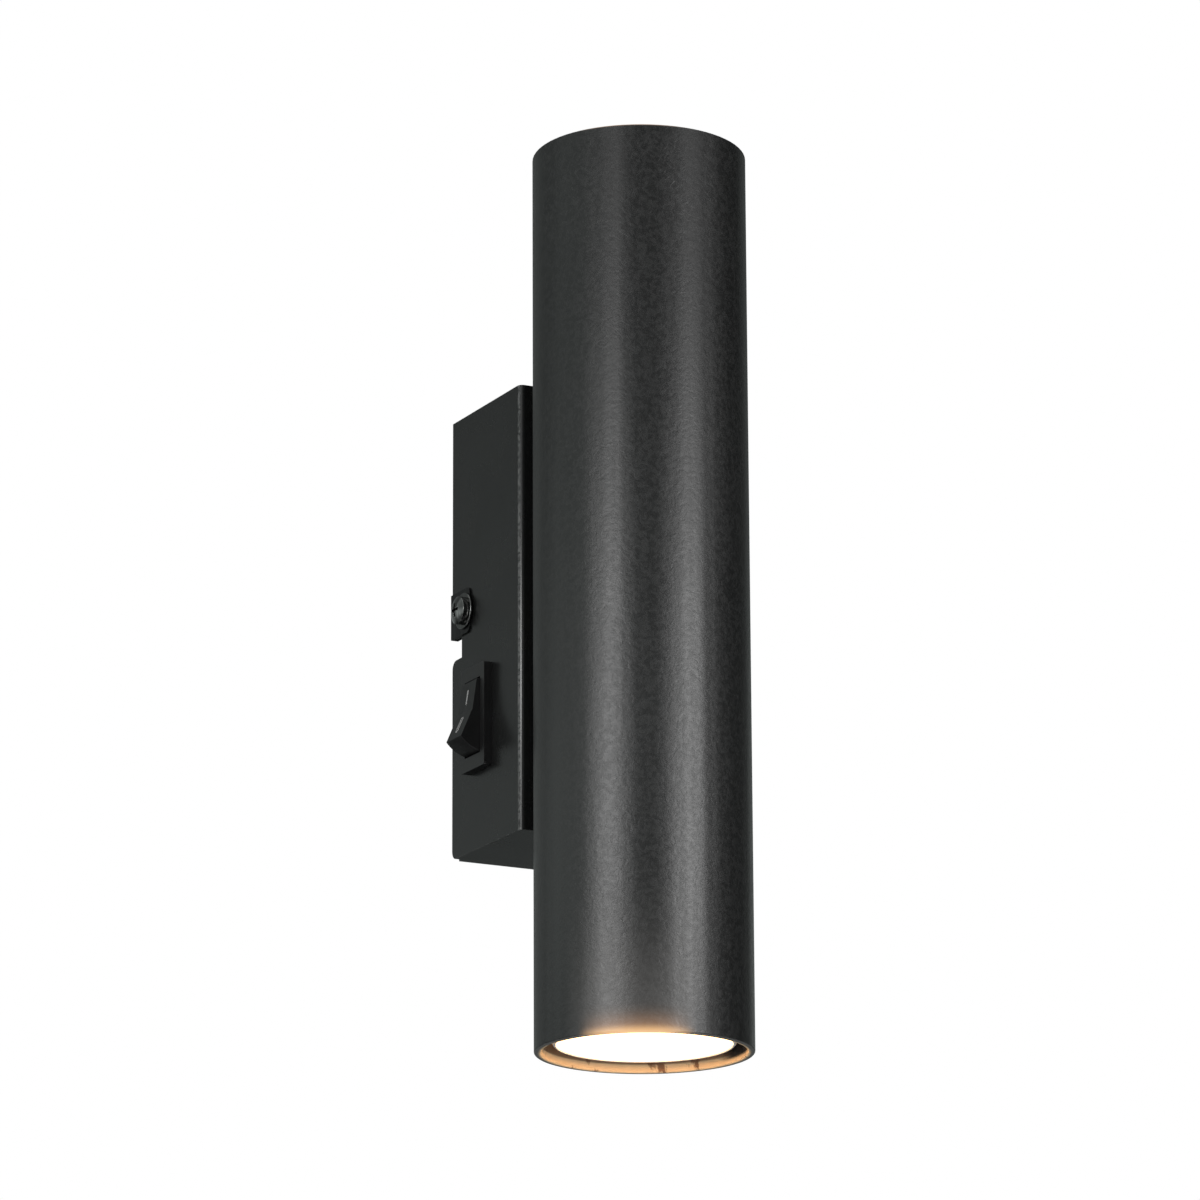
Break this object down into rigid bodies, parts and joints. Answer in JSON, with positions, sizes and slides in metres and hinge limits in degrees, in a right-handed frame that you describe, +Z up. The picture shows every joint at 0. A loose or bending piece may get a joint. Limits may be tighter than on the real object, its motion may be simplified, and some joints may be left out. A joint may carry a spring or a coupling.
{
  "type": "wall lamp",
  "caption": "Wall lamp with an up light and a down light in one upright tube, on a narrow wall box with a rocker switch and a cable notch in its side.",
  "frame": {"origin": "middle of the two wall screw slots, on the wall plane", "axes": "+Y into the wall, square to the back face; +Z up, along the tube; +X to the right, seen from the room"},
  "size_m": [0.06, 0.105, 0.256],
  "materials": {
    "tube_coat": "matt black powder coat with a fine grain",
    "box_coat": "satin black powder coat",
    "zinc_steel": "zinc plated",
    "spring_steel": "black spring steel",
    "dark_nickel": "black nickel plated",
    "saddle_plastic": "moulded",
    "nylon": "natural nylon",
    "ceramic": "fired, unglazed",
    "contact_brass": "bare",
    "tinned_metal": "tinned",
    "lamp_shell": "white moulded",
    "lamp_window": "frosted light window, lit",
    "switch_plastic": "fine moulded texture",
    "brown_lead": "brown insulation",
    "black_lead": "black insulation",
    "white_lead": "white heat-proof insulation",
    "earth_green": "green and yellow insulation"
  },
  "bodies": {
    "lamp": {"lamp_tube": "tube_coat", "wall_box": "box_coat", "wall_bracket": "zinc_steel", "clip_nuts": "spring_steel", "side_screws": "dark_nickel", "side_washers": "dark_nickel", "saddle": "saddle_plastic", "tube_screws": "zinc_steel", "lock_washers": "zinc_steel", "wire_bush": "nylon", "bush_nut": "nylon", "holder_carrier": "zinc_steel", "lower_lampholder": "ceramic", "upper_lampholder": "ceramic", "holder_screws": "zinc_steel", "holder_contacts": "contact_brass", "switch_housing": "switch_plastic", "switch_terminals": "tinned_metal", "blade_connectors": "contact_brass", "terminal_block": "nylon", "terminal_clamps": "contact_brass", "terminal_screws": "zinc_steel", "block_screw": "zinc_steel", "earth_stud": "contact_brass", "earth_nut": "contact_brass", "earth_washer": "contact_brass", "earth_lug": "tinned_metal", "live_lead": "brown_lead", "switched_lead": "black_lead", "upper_lamp_leads": "white_lead", "lower_lamp_leads": "white_lead", "earth_lead": "earth_green"},
    "rocker": {"switch_rocker": "switch_plastic", "switch_plunger": "nylon", "switch_spring": "tinned_metal"},
    "seesaw": {"switch_contact": "contact_brass"},
    "lower_lamp": {"lower_lamp_body": "lamp_shell", "lower_lamp_window": "lamp_window", "lower_lamp_base": "lamp_shell", "lower_lamp_pins": "tinned_metal"},
    "upper_lamp": {"upper_lamp_body": "lamp_shell", "upper_lamp_window": "lamp_window", "upper_lamp_base": "lamp_shell", "upper_lamp_pins": "tinned_metal"}
  },
  "joints": [
    {"name": "rocker_tilt", "type": "hinge", "parent": "lamp", "child": "rocker", "pos_m": [-0.0215, -0.018, -0.0272], "axis": [0, -1, 0], "range_deg": [0, 32]},
    {"name": "seesaw_tilt", "type": "hinge", "parent": "lamp", "child": "seesaw", "pos_m": [-0.011, -0.018, -0.0272], "axis": [0, 1, 0], "range_deg": [0, 14]},
    {"name": "lower_lamp_turn", "type": "hinge", "parent": "lamp", "child": "lower_lamp", "pos_m": [0, -0.075, -0.0033], "axis": [0, 0, -1], "range_deg": [0, 20]},
    {"name": "upper_lamp_turn", "type": "hinge", "parent": "lamp", "child": "upper_lamp", "pos_m": [0, -0.075, -0.0033], "axis": [0, 0, 1], "range_deg": [0, 20]}
  ],
  "couplings": [
    {"joint": "seesaw_tilt", "follows": "rocker_tilt", "ratio": 0.4375}
  ]
}
